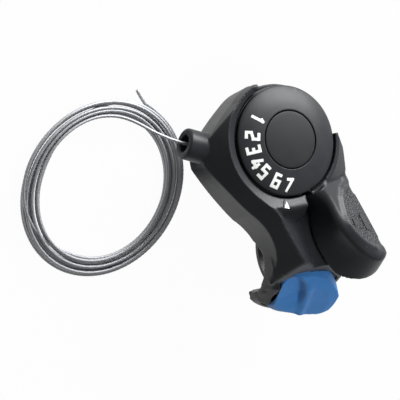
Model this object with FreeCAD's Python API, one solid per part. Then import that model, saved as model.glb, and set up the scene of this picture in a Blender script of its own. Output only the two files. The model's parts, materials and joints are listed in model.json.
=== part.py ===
import FreeCAD, Part
import math
import os

V = FreeCAD.Vector
X_AXIS, Y_AXIS, Z_AXIS = V(1, 0, 0), V(0, 1, 0), V(0, 0, 1)

# Handlebar and clamp: the bar axis is the X axis
BAR_BORE_R = 11.15
STRAP_T = 1.6
STRAP_HALF_W = 6.0
STRAP_R = BAR_BORE_R + STRAP_T
STRAP_CLEAR = 0.15
STRAP_REAR_DEG = 176.0
STRAP_FRONT_DEG = 377.0
LIP_H = 1.5
LIP_DEG = 6.0
TAB_Z = 2.0
TAB_END_Y = 24.5
BOLT_X = 1.5
BOLT_Y = 18.6
BOLT_R = 2.5
BOLT_HEAD_R = 4.25
BOLT_HEAD_H = 5.0
BOLT_DRIVE_R = 2.31
BOLT_DRIVE_DEEP = 2.6
BOLT_HOLE_CLEAR = 0.25
NUT_FLATS = 8.0
NUT_H = 3.2

# Body heights above the bar axis, measured along the dial axis
BODY_BOTTOM = 9.2
FLOOR_T = 1.8
EDGE_Z = 23.0
CREST_Z = 28.9
RIM_Z = 29.5
HOUSING_RIM_Z = 22.5
NECK_LOW_Z = 19.6
INBOARD_X = -17.6
OUTBOARD_X = 14.2
HOOK_Z = -3.7
LIP_Z = -1.0

# Dial axis and the radii around it
DIAL_X = -10.6
DIAL_Y = 37.9
HOUSING_R = 20.0
HOUSING_WALL = 1.5
CAVITY_R = HOUSING_R - HOUSING_WALL
BOWL_R = 19.7
RING_W = 3.2
CREST_R = BOWL_R + RING_W
RING_SLOPE_H = 1.5
RING_EDGE_R = 22.0
RING_FOOT_R = 23.6
RING_FOOT_RUN = 0.4
RING_TOP_DEG = 112.0
RING_END_DEG = -77.0
POINTER_DEG = 255.0

# Plan of the side wall: flank round the barrel root, then the neck down to the saddle
LOW_FLANK = [(-30.3, 47.6), (-35.6, 42.6), (-38.3, 38.2), (-38.4, 33.6)]
LOW_NECK = [(-32.3, 23.2), (-26.0, 14.5), (-18.9, 4.8), (-17.4, -2.0)]
EDGE_FLANK = [(-32.4, 48.2), (-36.8, 43.6), (-39.8, 39.0), (-39.8, 33.8)]
EDGE_NECK = [(-33.2, 23.2), (-26.4, 14.9), (-19.8, 5.7), (-17.1, -2.0)]
NECK_TAIL = [(-17.3, -9.0), (-1.0, -9.0)]
NECK_FLOOR = [(-17.2, 12.0), (INBOARD_X, 2.0), (INBOARD_X, -9.0), (OUTBOARD_X, -9.0), (OUTBOARD_X, 4.0),
              (5.4, 24.6), (-9.5, 30.0)]

# Sloping side face of ring and neck, and the hollow that falls towards the lever
FACE_RUN = 0.771
FACE_DEG = 219.4
HOLLOW_R = 30.0
HOLLOW_AT = (3.4, 19.5, 48.5)
HOLLOW_DIR = (0.5, -0.866, -0.224)

# Saddle: hook and rear face
HOOK_CURVE = [(-17.6, -11.0), (-16.9, -13.8), (-14.8, -15.8), (-7.0, -18.8), (0.0, -19.8), (7.0, -19.4),
              (14.2, -16.0)]
HOOK_SHOULDER_Z = 16.5
REAR_SLOPE = 2.24
REAR_LOW_Y = -15.7

# Release button and its socket
ARCH = [(12.6, 7.4), (8.8, 11.6), (3.4, 14.9), (-3.0, 16.1), (-8.6, 15.7), (-11.8, 13.9), (-13.2, 10.8)]
SOCKET_FRONT_Y = -1.5
SOCKET_WALL_R = 13.2
LIP_PAD = (7.6, -15.7, 2.4)
BUTTON_GAP = 0.35
BUTTON_TRAVEL = 2.5
BUTTON_BULGE_R = 49.6
BUTTON_BULGE_AT = (20.7, -23.4)
BUTTON_RIGHT = [(11.2, -7.0), (11.2, -12.7), (11.9, -20.0), (10.8, -22.5)]
BUTTON_REAR = [(7.0, -23.2), (2.2, -22.6), (-6.4, -20.2), (-10.6, -18.6), (-12.6, -16.8)]
WING_POINT = (2.5, -22.2, 0.0)
WING_NORMAL = (-0.139, -0.824, 0.55)
SLIDE_X = -6.5
SLIDE_HALF_W = 3.0
SLIDE_T = 1.1
SLIDE_TIP_Y = 20.0
SLIDE_REAR_Y = -6.5
SLIDE_CLEAR = 0.35
STEM_T = 1.4
STEM_REAR_Y = -10.0
STEM_FRONT_Y = 4.4
TOE_T = 1.4

# Cable, spool and outlet barrel
CABLE_R = 0.6
SPOOL_GROOVE_R = 7.4
CABLE_GAP = 0.1
CABLE_TURN_R = SPOOL_GROOVE_R + CABLE_R + CABLE_GAP
SPOOL_FLANGE_R = 10.4
SPOOL_TUBE_R = 6.0
GROOVE_HALF = 1.4
BARREL_DEG = 157.7
BARREL_R = 5.4
BARREL_BORE_R = 3.0
BARREL_REACH = 33.2
BARREL_ROOT = 22.0
BARREL_LIP = 0.8
BARREL_SEAT = 9.0
CABLE_HOLE_R = 1.6
NIPPLE_R = 2.2
NIPPLE_H = 4.4
NIPPLE_DEG = 276.0
NIPPLE_CLEAR = 0.06

# Stack along the dial axis
PLATE_T = 1.5
PLATE_Z = BODY_BOTTOM + FLOOR_T
PLATE_R = CAVITY_R - 0.5
WASHER_T = 0.7
WASHER_R = 6.0
RATCHET_T = 1.5
RUN_GAP = 0.1
RATCHET_Z = PLATE_Z + PLATE_T + WASHER_T + RUN_GAP
SPOOL_Z = RATCHET_Z + RATCHET_T
SPOOL_H = 6.2
CABLE_Z = SPOOL_Z + SPOOL_H / 2
DRIVE_Z = SPOOL_Z + SPOOL_H
LEVER_PLATE_Z = DRIVE_Z + RATCHET_T + 4 * RUN_GAP
LEVER_PLATE_T = 1.5
LEVER_PLATE_R = CAVITY_R - 0.7
LEVER_DISC_T = 1.9
LEVER_DISC_Z = LEVER_PLATE_Z + LEVER_PLATE_T
LEVER_DISC_R = BOWL_R - 0.6
AXLE_R = 3.0
AXLE_STEP = 0.6
RUN_CLEAR = 0.06
PRESS_CLEAR = 0.01
TENON_FLATS = 8.0
RATCHET_TIP_R = 12.6
RATCHET_ROOT_R = 11.2
GEAR_STEP_DEG = 20.0
SCREW_ORBIT = 14.2
SCREW_DEGS = (60, 160, 320)
SCREW_R = 1.25
SCREW_HEAD_R = 2.2
SCREW_HEAD_H = 1.2

# Dial and cap
DIAL_GAP = 0.8
DIAL_R = BOWL_R - DIAL_GAP
DIAL_BOTTOM = 26.8
DIAL_RIM_TOP = 27.9
DIAL_SHOULDER = 0.6
DIAL_TOP = 31.2
DIAL_BULGE = 0.42
DIAL_FLOOR_T = 1.4
AXLE_TOP = DIAL_BOTTOM + DIAL_FLOOR_T + RUN_CLEAR
AXLE_WASHER_T = 0.4
AXLE_WASHER_R = 5.0
AXLE_NUT_R = 4.6
AXLE_NUT_H = 1.2
CAP_R = 9.85
CAP_SEAM = 0.15
CAP_RISE = 0.7
CAP_SEAT_T = 1.2
CAP_SEAT_W = 1.2
CAP_HOLLOW_R = 6.2
CAP_HOLLOW = 0.6
CAP_NOTCH_R = 0.7
CAP_NOTCH_DEG = 112.0

# Pawls and springs
PAWL_POST_DX = -2.0
PAWL_POST_DY = -15.9
PAWL_POST_R = 1.5
PAWL_EYE_R = 2.2
PAWL_T = 1.3
PAWL_Z = RATCHET_Z + RUN_GAP
POST_TOP = SPOOL_Z + 3.4
DRIVE_PIN_DEG = 34.0
DRIVE_PIN_ORBIT = 15.5
DRIVE_PIN_R = 1.2
DRIVE_EYE_R = 2.1
PIN_HEAD_R = 1.9
PIN_HEAD_H = 0.5
SPRING_T = 0.5
SPRING_H = 1.3
LEVER_SPRING_R = 14.6
LEVER_SPRING_STEP = 1.6
STEM_Z = RATCHET_Z + RUN_GAP

# Thumb lever
LEVER_BOTTOM = 20.2
LEVER_MID = 25.5
LEVER_TOP = 33.4
COLLAR_T = 1.3
COLLAR_R = BOWL_R + COLLAR_T
COLLAR_TOP = 28.4
COLLAR_FROM = -72.0
COLLAR_TO = -1.0
HUB_CLEAR_R = HOUSING_R + 0.6
ARM_SLOPE = 0.8
PAD_TILT = 30.0
PAD_AIM_DEG = 33.2
PAD_AT = (4.6, 7.6, 31.6)
PAD_DEPTH = 1.0
BEAD_R = 2.2
BEAD_END = (18.0, 16.0)
PAD_EDGE = [(16.9, 20.0), (10.2, 16.6), (8.0, 12.5), (7.8, 6.2), (10.5, 1.7), (15.4, -2.0), (20.0, -3.1)]
LEVER_LOW = ([(-2.0, 12.6), (-2.2, 6.2), (-0.2, -2.4), (4.4, -10.2)],
             [(11.4, -13.2), (20.0, -12.4), (23.9, -7.6)],
             [(22.2, -0.8), (17.2, 14.6), (13.4, 32.4)])
LEVER_WAIST = ([(-0.6, 13.2), (0.4, 7.0), (2.6, 1.2), (7.4, -6.2)],
               [(12.8, -9.6), (19.0, -9.8), (22.6, -6.2)],
               [(21.2, -0.8), (16.8, 14.6), (12.8, 32.6)])
LEVER_BEAD = ([(0.4, 14.2), (1.6, 8.2), (4.3, 3.0), (8.9, -2.2)],
              [(13.6, -4.9), (18.0, -5.8), (20.4, -4.6)],
              [(20.0, -0.8), (16.0, 14.7), (11.4, 33.0)])

# Coil of the free cable on the table
COIL_X = -67.9
COIL_Y = 31.6
COIL_R = 27.5
COIL_HALF_W = 4.2
COIL_HALF_H = 2.1
LEAD_RUN = 8.0
LEAD_IN_R = COIL_R - 2.1
LEAD_DEGS = (76, 96)
LEAD_UP = (5.6, 2.8)
TAIL_DEG = 52.0
TAIL_STEP_DEG = 14.0
TAIL_R = (COIL_R + 2.2, COIL_R + 7.8)
TAIL_UP = (1.4, 1.0)

# The part lies on the strap and on the front of the dial housing
FOOT_Y = DIAL_Y + HOUSING_R
FOOT_REACH = math.hypot(FOOT_Y, BODY_BOTTOM)
REST_TILT = math.degrees(math.atan2(BODY_BOTTOM, FOOT_Y) + math.asin(STRAP_R / FOOT_REACH))
TABLE_Z = -STRAP_R

FAR = 100.0


def polar(r, deg, z=0.0):
    a = math.radians(deg)
    return V(DIAL_X + r * math.cos(a), DIAL_Y + r * math.sin(a), z)


def on_axis(r, h, z):
    return Part.makeCylinder(r, h, V(DIAL_X, DIAL_Y, z))


def ring(r_out, r_in, h, z):
    return on_axis(r_out, h, z).cut(on_axis(r_in, h, z))


def peg(r, p, z0, z1):
    return Part.makeCylinder(r, z1 - z0, V(p.x, p.y, z0))


def bar_rod(r, y=0.0, z=0.0):
    return Part.makeCylinder(r, 2 * FAR, V(-FAR, y, z), X_AXIS)


def face_of(points):
    return Part.Face(Part.makePolygon(points + [points[0]]))


def prism(points, z0, z1):
    return face_of([V(x, y, z0) for x, y in points]).extrude(V(0, 0, z1 - z0))


def bar_prism(points):
    return face_of([V(-FAR, y, z) for y, z in points]).extrude(V(2 * FAR, 0, 0))


def spline(points):
    curve = Part.BSplineCurve()
    curve.interpolate(points)
    return curve.toShape()


def closed(edges, points):
    """Wire of the edges, closed by straight runs through the points."""
    run = [edges[-1].Vertexes[-1].Point] + points + [edges[0].Vertexes[0].Point]
    lines = [Part.makeLine(a, b) for a, b in zip(run, run[1:])]
    return Part.Wire(edges + lines)


def turned(points):
    """Turned solid from radius and height pairs."""
    section = face_of([V(DIAL_X + r, DIAL_Y, z) for r, z in points])
    return section.revolve(V(DIAL_X, DIAL_Y, 0), Z_AXIS, 360)


def sector(r_in, r_out, a0, a1, z0, z1):
    mid = (a0 + a1) / 2
    outer = Part.Arc(polar(r_out, a0, z0), polar(r_out, mid, z0), polar(r_out, a1, z0)).toShape()
    inner = Part.Arc(polar(r_in, a1, z0), polar(r_in, mid, z0), polar(r_in, a0, z0)).toShape()
    sides = [Part.makeLine(polar(r_out, a1, z0), polar(r_in, a1, z0)),
             Part.makeLine(polar(r_in, a0, z0), polar(r_out, a0, z0))]
    return Part.Face(Part.Wire([outer, sides[0], inner, sides[1]])).extrude(V(0, 0, z1 - z0))


def beyond(point, normal):
    """Block of space on the far side of a plane."""
    plane = Part.makePlane(2 * FAR, 2 * FAR, V(0, 0, 0), normal)
    plane.translate(point - plane.BoundBox.Center)
    return plane.extrude(normal * FAR)


def shell_wire(z, top_r, arc_end, flank, neck):
    """Outline of the crescent side: ring arc, flank, neck, rear, and back inside the bowl."""
    arc = [polar(top_r, d, z) for d in (RING_TOP_DEG, (RING_TOP_DEG + arc_end) / 2, arc_end)]
    flank = [V(x, y, z) for x, y in flank]
    neck = [V(x, y, z) for x, y in neck]
    rear = [V(x, y, z) for x, y in NECK_TAIL]
    inner = [polar(0.75 * BOWL_R, d, z) for d in (RING_END_DEG, RING_TOP_DEG)]
    edges = [Part.Arc(*arc).toShape(), spline(arc[2:] + flank[:2]), spline(flank[1:])]
    edges += [spline(flank[3:] + neck[:2]), spline(neck[1:])]
    return closed(edges, rear + inner)


def side_face():
    """Space outside the sloping side face: a cone round the dial that runs out flat along the neck."""
    low_r = CREST_R + FACE_RUN * (CREST_Z - BODY_BOTTOM)
    top_z = CREST_Z + 5.0
    cone = Part.makeCone(low_r, CREST_R - FACE_RUN * 5.0, top_z - BODY_BOTTOM, V(DIAL_X, DIAL_Y, BODY_BOTTOM))
    round_part = sector(2.0, FAR, RING_TOP_DEG - 10, FACE_DEG, BODY_BOTTOM, top_z).cut(cone)
    section = [polar(low_r, FACE_DEG, BODY_BOTTOM), polar(FAR, FACE_DEG, BODY_BOTTOM)]
    section += [polar(FAR, FACE_DEG, top_z), polar(CREST_R - FACE_RUN * 5.0, FACE_DEG, top_z)]
    along = polar(FAR, FACE_DEG + 90) - polar(0, 0)
    return round_part, face_of(section).extrude(along)


def barrel_axis():
    start = polar(CABLE_TURN_R, BARREL_DEG + 90, CABLE_Z)
    away = polar(1, BARREL_DEG) - polar(0, 0)
    return start, away, start + away * BARREL_REACH


def bracket_body():
    low = shell_wire(BODY_BOTTOM, HOUSING_R, 122, LOW_FLANK, LOW_NECK)
    edge = shell_wire(EDGE_Z, RING_EDGE_R, 136, EDGE_FLANK, EDGE_NECK)
    shell = Part.makeLoft([low, edge], True, True)
    shell = shell.fuse(Part.Face(edge).extrude(V(0, 0, RIM_Z - EDGE_Z)))
    # the neck hollows towards the lever, outside the foot of the ring
    axis = V(*HOLLOW_DIR)
    hollow = Part.makeCylinder(HOLLOW_R, FAR, V(*HOLLOW_AT) - axis * (FAR / 2), axis)
    fall = RIM_Z - BODY_BOTTOM
    foot_low_r = RING_FOOT_R + RING_FOOT_RUN * fall
    foot = Part.makeCone(foot_low_r, RING_FOOT_R, fall, V(DIAL_X, DIAL_Y, BODY_BOTTOM))
    shell = shell.cut(hollow.cut(foot))
    housing = on_axis(HOUSING_R, HOUSING_RIM_Z - BODY_BOTTOM, BODY_BOTTOM)
    low_neck = prism(NECK_FLOOR, BODY_BOTTOM, NECK_LOW_Z)
    # saddle block: hook, sloping rear face and the lip under the release button
    hook = closed([spline([V(x, y, HOOK_Z) for x, y in HOOK_CURVE])],
                  [V(OUTBOARD_X, 6.3, HOOK_Z), V(INBOARD_X, 6.3, HOOK_Z)])
    block = Part.Face(hook).extrude(V(0, 0, NECK_LOW_Z - HOOK_Z))
    shoulder = beyond(V(INBOARD_X, 0, HOOK_SHOULDER_Z), V(-1, 0, 1))
    rear_top_y = REAR_LOW_Y + (RIM_Z - LIP_Z) / REAR_SLOPE
    rear = bar_prism([(rear_top_y, RIM_Z), (REAR_LOW_Y, LIP_Z), (-FAR, LIP_Z), (-FAR, RIM_Z)])
    body = low_neck.fuse(block).cut(shoulder).fuse(shell).fuse(housing).cut(rear)
    for cutter in side_face():
        body = body.cut(cutter)
    start, away, mouth = barrel_axis()
    barrel = Part.makeCylinder(BARREL_R, BARREL_ROOT, mouth - away * BARREL_ROOT, away)
    barrel = barrel.makeFillet(BARREL_LIP, [barrel.Edges[0]])
    body = body.fuse(barrel)
    # dial bowl with its sloping ring, mechanism cavity, open lever side
    body = body.cut(on_axis(BOWL_R, RIM_Z, HOUSING_RIM_Z)).cut(on_axis(CAVITY_R, RIM_Z, PLATE_Z))
    slope_low = CREST_Z - RING_SLOPE_H
    slope = Part.makeCone(BOWL_R, BOWL_R + 2 * RING_W, 2 * RING_SLOPE_H, V(DIAL_X, DIAL_Y, slope_low))
    open_side = sector(BOWL_R - 3, FAR, RING_END_DEG, RING_TOP_DEG, NECK_LOW_Z, 2 * RIM_Z)
    body = body.cut(slope).cut(open_side.cut(on_axis(HOUSING_R, HOUSING_RIM_Z, 0)))
    # cable passage
    seat = Part.makeCylinder(BARREL_BORE_R, 2 * BARREL_SEAT, mouth - away * BARREL_SEAT, away)
    passage = Part.makeCylinder(CABLE_HOLE_R, BARREL_REACH, start + away * 4.0, away)
    body = body.cut(seat).cut(passage)
    # bar bore and the free space in front of the bar
    body = body.cut(bar_rod(BAR_BORE_R))
    front = bar_prism([(0, BODY_BOTTOM), (0, -FAR), (FAR, -FAR), (FAR, BODY_BOTTOM)])
    body = body.cut(front.cut(bar_rod(BAR_BORE_R)))
    # socket of the release button, its slide channel
    body = body.cut(socket_space())
    half = SLIDE_HALF_W + SLIDE_CLEAR
    channel_h = STEM_T + SLIDE_T + 3 * SLIDE_CLEAR
    channel = Part.makeBox(2 * half, SLIDE_TIP_Y + BUTTON_TRAVEL + 12, channel_h,
                           V(SLIDE_X - half, -12, RATCHET_Z - RUN_GAP))
    body = body.cut(channel)
    # seat of the strap lip, bolt hole, nut pocket, screw holes
    bolt = V(BOLT_X, BOLT_Y, 0)
    body = body.cut(strap_seat()).cut(peg(BOLT_R + BOLT_HOLE_CLEAR, bolt, 0, PLATE_Z + NUT_H))
    half = NUT_FLATS / 2 + BOLT_HOLE_CLEAR
    pocket = Part.makeBox(2 * half, 2 * half, NUT_H + 0.8, V(BOLT_X - half, BOLT_Y - half, BODY_BOTTOM - 0.2))
    body = body.cut(pocket)
    for p in screw_places():
        body = body.cut(peg(SCREW_R + 0.1, p, 0, PLATE_Z + 1))
    # pointer slit beside the mark
    slit = Part.makeBox(0.5, 2.6, 3.0, V(-0.25, -1.3, 0))
    slit.rotate(V(0, 0, 0), Z_AXIS, POINTER_DEG - 90)
    slit.translate(polar(CREST_R - RING_W / 2, POINTER_DEG, CREST_Z - RING_SLOPE_H))
    return body.cut(slit).removeSplitter()


def arch_prism(gap, y1):
    """Arched prism along Y, smaller than the socket by the gap."""
    reach = ARCH[0][0]
    low = LIP_Z + gap
    top = [V(x * (1 - gap / reach), -FAR, z - gap) for x, z in ARCH]
    wire = closed([spline(top)], [V(top[-1].x, -FAR, low), V(top[0].x, -FAR, low)])
    return Part.Face(wire).extrude(V(0, FAR + y1, 0))


def socket_wall(grow, back):
    """Wall between bar and socket, thicker behind the strap lip."""
    half, y, z = LIP_PAD
    low = LIP_Z - 1
    pad = Part.makeBox(2 * (half + grow), grow - y, z + grow - low, V(-half - grow, y - grow - back, low))
    return bar_rod(SOCKET_WALL_R + grow, -back).fuse(pad)


def socket_space():
    return arch_prism(0.0, SOCKET_FRONT_Y).cut(socket_wall(0.0, 0.0))


def release_button():
    cap = arch_prism(BUTTON_GAP, SOCKET_FRONT_Y - BUTTON_TRAVEL - 2 * BUTTON_GAP)
    cap = cap.common(bar_rod(BUTTON_BULGE_R, *BUTTON_BULGE_AT))
    right, back = ([V(x, y, 2 * LIP_Z) for x, y in run] for run in (BUTTON_RIGHT, BUTTON_REAR))
    plan = closed([spline(right), spline(right[3:] + back)], [V(back[-1].x, right[0].y + 4, 2 * LIP_Z),
                                                              V(right[0].x, right[0].y + 4, 2 * LIP_Z)])
    cap = cap.common(Part.Face(plan).extrude(V(0, 0, FAR)))
    cap = cap.cut(beyond(V(*WING_POINT), V(*WING_NORMAL)))
    cap = cap.cut(socket_wall(BUTTON_GAP, BUTTON_TRAVEL))
    stem_w = 2 * SLIDE_HALF_W - SLIDE_CLEAR
    corner = V(SLIDE_X - stem_w / 2, STEM_REAR_Y, STEM_Z)
    stem = Part.makeBox(stem_w, STEM_FRONT_Y - STEM_REAR_Y, STEM_T, corner)
    slot_at = V(SLIDE_X - SLIDE_HALF_W - SLIDE_CLEAR, SLIDE_REAR_Y - SLIDE_CLEAR, STEM_Z + STEM_T)
    slot_w = 2 * SLIDE_HALF_W + 2 * SLIDE_CLEAR
    slot = Part.makeBox(slot_w, SLIDE_TIP_Y - SLIDE_REAR_Y, SLIDE_T + SLIDE_CLEAR, slot_at)
    return cap.cut(slot).fuse(stem).removeSplitter()


def release_plate():
    """Steel strip on the button's stem, turned down at the front to meet the pawl."""
    z = STEM_Z + STEM_T
    x = SLIDE_X - SLIDE_HALF_W
    strip = Part.makeBox(2 * SLIDE_HALF_W, SLIDE_TIP_Y - SLIDE_REAR_Y, SLIDE_T, V(x, SLIDE_REAR_Y, z))
    toe = Part.makeBox(2 * SLIDE_HALF_W, TOE_T, z + SLIDE_T - STEM_Z, V(x, SLIDE_TIP_Y - TOE_T, STEM_Z))
    clear = Part.makeBox(SLIDE_HALF_W * 0.6, 6, 10, V(x - 0.1, SLIDE_TIP_Y - 4, STEM_Z - 1))
    return strip.fuse(toe).cut(clear).removeSplitter()


def arc_band(r_in, r_out, a0, a1, half):
    """Curved strip round the bar axis."""
    def at(r, d):
        return V(-half, r * math.cos(math.radians(d)), r * math.sin(math.radians(d)))
    mid = (a0 + a1) / 2
    edges = [Part.Arc(at(r_out, a0), at(r_out, mid), at(r_out, a1)).toShape(),
             Part.makeLine(at(r_out, a1), at(r_in, a1)),
             Part.Arc(at(r_in, a1), at(r_in, mid), at(r_in, a0)).toShape(),
             Part.makeLine(at(r_in, a0), at(r_out, a0))]
    return Part.Face(Part.Wire(edges)).extrude(V(2 * half, 0, 0))


def strap_seat():
    half = STRAP_HALF_W + STRAP_CLEAR
    a0 = STRAP_REAR_DEG - 1.5
    a1 = STRAP_REAR_DEG + LIP_DEG + 1.5
    seat = arc_band(BAR_BORE_R - 1, STRAP_R + STRAP_CLEAR, a0, 210, half)
    return seat.fuse(arc_band(BAR_BORE_R, STRAP_R + LIP_H + STRAP_CLEAR, a0, a1, half))


def clamp_strap():
    band = arc_band(BAR_BORE_R, STRAP_R, STRAP_REAR_DEG, STRAP_FRONT_DEG, STRAP_HALF_W)
    lip = arc_band(STRAP_R - 0.5, STRAP_R + LIP_H, STRAP_REAR_DEG, STRAP_REAR_DEG + LIP_DEG, STRAP_HALF_W)
    tab_y = BAR_BORE_R + 0.4
    tab = Part.makeBox(2 * STRAP_HALF_W, TAB_END_Y - tab_y, STRAP_T, V(-STRAP_HALF_W, tab_y, TAB_Z))
    hole = peg(BOLT_R + BOLT_HOLE_CLEAR, V(BOLT_X, BOLT_Y, 0), 0, TAB_Z + 2 * STRAP_T)
    return band.fuse(lip).fuse(tab).cut(hole).removeSplitter()


def clamp_bolt():
    at = V(BOLT_X, BOLT_Y, 0)
    low = TAB_Z - BOLT_HEAD_H
    bolt = peg(BOLT_HEAD_R, at, low, TAB_Z).fuse(peg(BOLT_R, at, TAB_Z, BODY_BOTTOM + NUT_H + 0.4))
    turns = [math.radians(60 * k) for k in range(6)]
    socket = [(BOLT_X + BOLT_DRIVE_R * math.cos(a), BOLT_Y + BOLT_DRIVE_R * math.sin(a)) for a in turns]
    return bolt.cut(prism(socket, low, low + BOLT_DRIVE_DEEP)).removeSplitter()


def clamp_nut():
    half = NUT_FLATS / 2
    nut = Part.makeBox(NUT_FLATS, NUT_FLATS, NUT_H, V(BOLT_X - half, BOLT_Y - half, BODY_BOTTOM + 0.4))
    return nut.cut(peg(BOLT_R + 2 * PRESS_CLEAR, V(BOLT_X, BOLT_Y, 0), 0, FAR))


def screw_places():
    return [polar(SCREW_ORBIT, d) for d in SCREW_DEGS]


def base_screws():
    out = []
    for p in screw_places():
        head = peg(SCREW_HEAD_R, p, BODY_BOTTOM - SCREW_HEAD_H, BODY_BOTTOM)
        out.append(head.fuse(peg(SCREW_R, p, BODY_BOTTOM, PLATE_Z + PLATE_T)).removeSplitter())
    return Part.makeCompound(out)


def base_plate():
    plate = ring(PLATE_R, AXLE_R + PRESS_CLEAR, PLATE_T, PLATE_Z)
    for p in screw_places():
        plate = plate.cut(peg(SCREW_R + 2 * PRESS_CLEAR, p, 0, FAR))
    half = NUT_FLATS / 2 + 2 * BOLT_HOLE_CLEAR
    notch = Part.makeBox(2 * half, 2 * half, FAR, V(BOLT_X - half, BOLT_Y - half, 0))
    return plate.cut(peg(PAWL_POST_R + PRESS_CLEAR, pawl_centre(), 0, FAR)).cut(notch)


def main_axle():
    post = on_axis(AXLE_R, AXLE_TOP - PLATE_Z, PLATE_Z)
    tip = on_axis(AXLE_R - AXLE_STEP, AXLE_WASHER_T + AXLE_NUT_H + RUN_GAP, AXLE_TOP)
    return post.fuse(tip).removeSplitter()


def axle_washer():
    return ring(AXLE_WASHER_R, AXLE_R - AXLE_STEP + 2 * PRESS_CLEAR, AXLE_WASHER_T, AXLE_TOP)


def axle_nut():
    z = AXLE_TOP + AXLE_WASHER_T
    nut = face_of([polar(AXLE_NUT_R, 60 * k, z) for k in range(6)]).extrude(V(0, 0, AXLE_NUT_H))
    return nut.cut(on_axis(AXLE_R - AXLE_STEP + 2 * PRESS_CLEAR, FAR, 0))


def thrust_washer():
    return ring(WASHER_R, AXLE_R + RUN_CLEAR, WASHER_T, PLATE_Z + PLATE_T)


def toothed_wheel(z):
    pts = []
    for k in range(round(360 / GEAR_STEP_DEG)):
        a = k * GEAR_STEP_DEG
        pts += [polar(RATCHET_TIP_R, a, z), polar(RATCHET_ROOT_R, a + 0.08 * GEAR_STEP_DEG, z)]
        pts.append(polar(RATCHET_ROOT_R + 0.2, a + 0.5 * GEAR_STEP_DEG, z))
    return face_of(pts).extrude(V(0, 0, RATCHET_T)).cut(on_axis(SPOOL_TUBE_R + PRESS_CLEAR, FAR, 0))


def cable_spool():
    z0, z1 = SPOOL_Z, SPOOL_Z + SPOOL_H
    hub = SPOOL_TUBE_R - 1
    body = turned([(hub, z0), (SPOOL_FLANGE_R, z0), (SPOOL_FLANGE_R, CABLE_Z - GROOVE_HALF),
                   (SPOOL_GROOVE_R, CABLE_Z - GROOVE_HALF / 2), (SPOOL_GROOVE_R, CABLE_Z + GROOVE_HALF / 2),
                   (SPOOL_FLANGE_R, CABLE_Z + GROOVE_HALF), (SPOOL_FLANGE_R, z1), (hub, z1)])
    tube = on_axis(SPOOL_TUBE_R, DIAL_BOTTOM - RATCHET_Z, RATCHET_Z)
    half = TENON_FLATS / 2
    corner = V(DIAL_X - half, DIAL_Y - half, DIAL_BOTTOM)
    tenon = Part.makeBox(TENON_FLATS, TENON_FLATS, DIAL_FLOOR_T - RUN_GAP, corner)
    spool = body.fuse(tube).fuse(tenon).cut(on_axis(AXLE_R + RUN_CLEAR, FAR, 0))
    low = SPOOL_Z + 0.7
    pocket = peg(NIPPLE_R + NIPPLE_CLEAR, polar(CABLE_TURN_R, NIPPLE_DEG), low, low + NIPPLE_H + 1)
    return spool.cut(pocket.cut(on_axis(SPOOL_TUBE_R, FAR, 0))).removeSplitter()


def cable_nipple():
    low = SPOOL_Z + 0.8
    head = peg(NIPPLE_R, polar(CABLE_TURN_R, NIPPLE_DEG), low, low + NIPPLE_H)
    return head.cut(on_axis(SPOOL_TUBE_R + NIPPLE_CLEAR, FAR, 0))


def cable_run():
    """Inner cable from the spool's tangent point to the mouth of the barrel."""
    start, away, mouth = barrel_axis()
    first, middle = (polar(CABLE_TURN_R, BARREL_DEG + d, CABLE_Z) for d in (102, 96))
    edges = [Part.Arc(first, middle, start).toShape(), Part.makeLine(start, mouth)]
    return tube(edges, first, polar(1, BARREL_DEG + 12) - polar(0, 0))


def lever_plate():
    pin = polar(DRIVE_PIN_ORBIT, DRIVE_PIN_DEG)
    plate = ring(LEVER_PLATE_R, SPOOL_TUBE_R + RUN_CLEAR, LEVER_PLATE_T, LEVER_PLATE_Z)
    return plate.cut(peg(DRIVE_PIN_R + PRESS_CLEAR, pin, 0, FAR))


def lever_wire(z, left, end, right):
    """Outline of the thumb lever: arc beside the dial, left wall, rounded end, right edge."""
    degs = (COLLAR_TO, 0.7 * COLLAR_TO + 0.3 * COLLAR_FROM, 0.3 * COLLAR_TO + 0.7 * COLLAR_FROM, COLLAR_FROM)
    arc = [polar(HUB_CLEAR_R, d, z) for d in degs]
    left, end, right = ([V(x, y, z) for x, y in run] for run in (left, end, right))
    edges = [spline(arc), spline(arc[3:] + left), spline(left[3:] + end), spline(end[2:] + right)]
    return closed(edges, [])


def pad_normal():
    """The thumb pad tilts away to the right and forward."""
    a, b = math.radians(PAD_TILT), math.radians(PAD_AIM_DEG)
    return V(math.cos(b) * math.sin(a), math.sin(b) * math.sin(a), math.cos(a))


def above_pad(drop):
    return beyond(V(*PAD_AT) - pad_normal() * drop, pad_normal())


def bead_edges(blade):
    """Edges along the left side and the end of the pad's plane."""
    found = []
    for edge in blade.Edges:
        p = edge.valueAt((edge.FirstParameter + edge.LastParameter) / 2)
        on_pad = abs((p - V(*PAD_AT)).dot(pad_normal())) < PRESS_CLEAR
        if on_pad and p.x < BEAD_END[0] and p.y < BEAD_END[1]:
            found.append(edge)
    return found


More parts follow.
